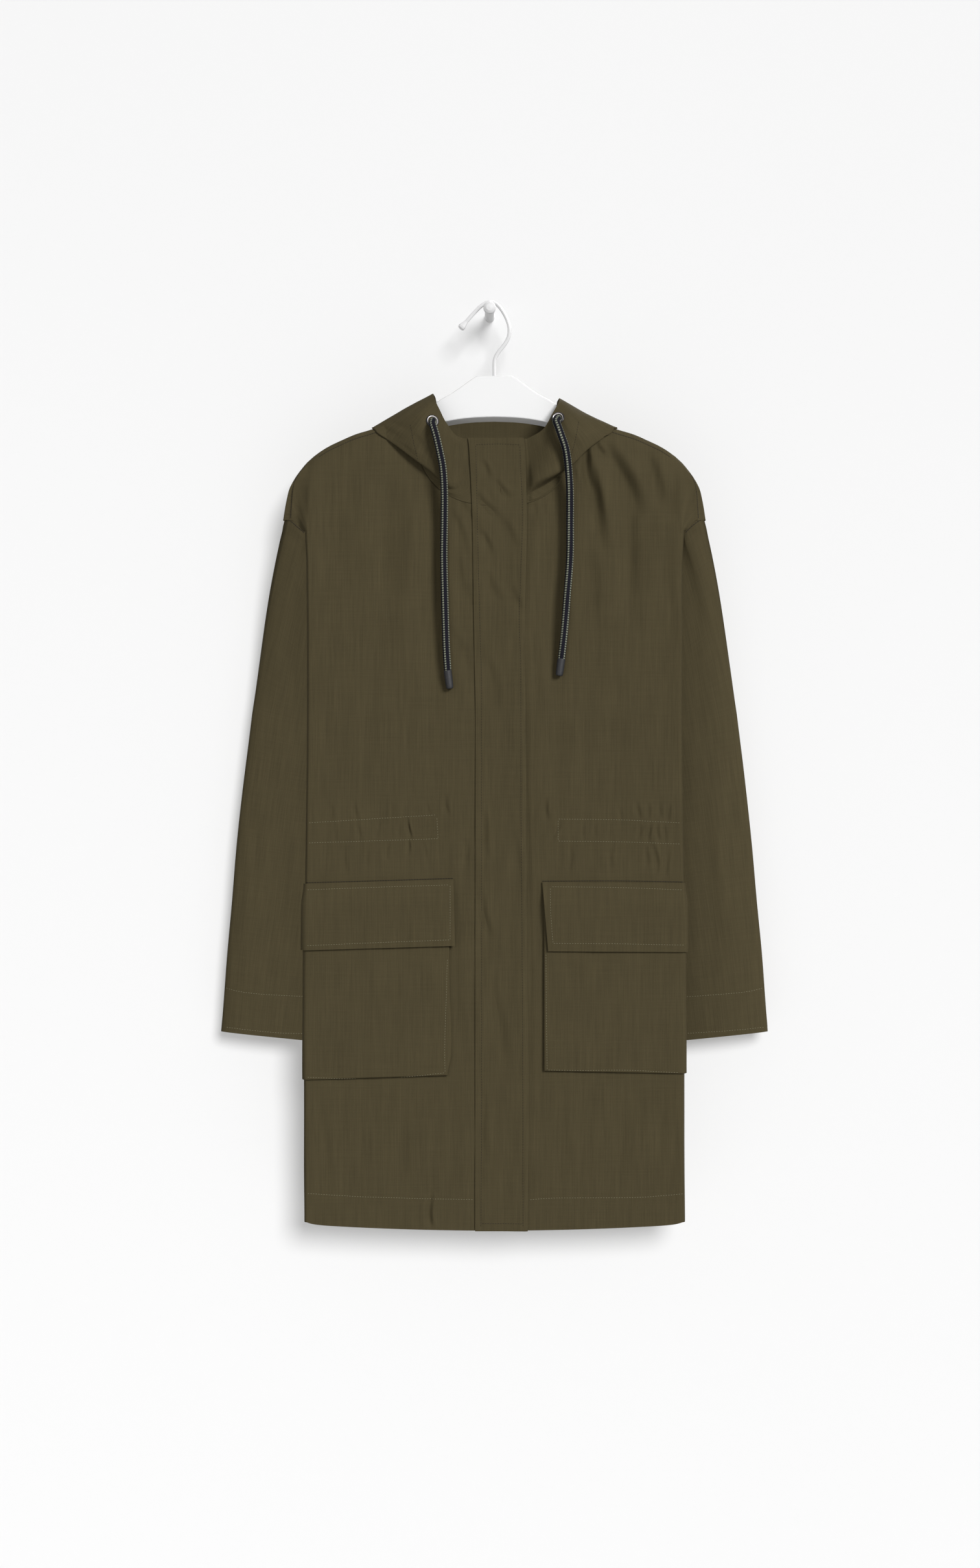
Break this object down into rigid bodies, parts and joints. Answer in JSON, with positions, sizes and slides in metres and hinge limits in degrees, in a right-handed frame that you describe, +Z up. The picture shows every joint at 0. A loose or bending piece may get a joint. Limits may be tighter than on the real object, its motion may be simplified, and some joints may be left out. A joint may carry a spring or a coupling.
{
  "type": "hooded parka on a hanger and wall peg",
  "caption": "Long cotton parka with a laid-back hood, drawcords, a storm flap over the closure and flapped patch pockets, on a plastic hanger hooked over a wall peg.",
  "frame": {"origin": "middle of the peg's back face, on the wall", "axes": "+Z up, +Y into the wall, the parka's front faces -Y, +X to the right as seen from the front"},
  "size_m": [0.617, 0.1057, 1.0411],
  "materials": {
    "shell_cloth": "matt olive cotton weave",
    "drawcord": "navy braid with pale grey-green flecks",
    "cord_end": "black dipped end",
    "eyelet_metal": "dark nickel",
    "hanger_plastic": "white satin",
    "hook_wire": "white coated wire",
    "peg_paint": "white"
  },
  "bodies": {
    "root": {"front_left": "shell_cloth", "front_right": "shell_cloth", "back": "shell_cloth", "sleeve_left": "shell_cloth", "sleeve_right": "shell_cloth", "hood_left": "shell_cloth", "hood_right": "shell_cloth", "storm_flap": "shell_cloth", "pocket_left": "shell_cloth", "pocket_right": "shell_cloth", "pocket_flap_left": "shell_cloth", "pocket_flap_right": "shell_cloth", "eyelet_left": "eyelet_metal", "eyelet_right": "eyelet_metal", "cord_left": "drawcord", "cord_right": "drawcord", "cord_tip_left": "cord_end", "cord_tip_right": "cord_end", "hanger_body": "hanger_plastic", "hanger_hook": "hook_wire", "wall_peg": "peg_paint"}
  },
  "joints": []
}
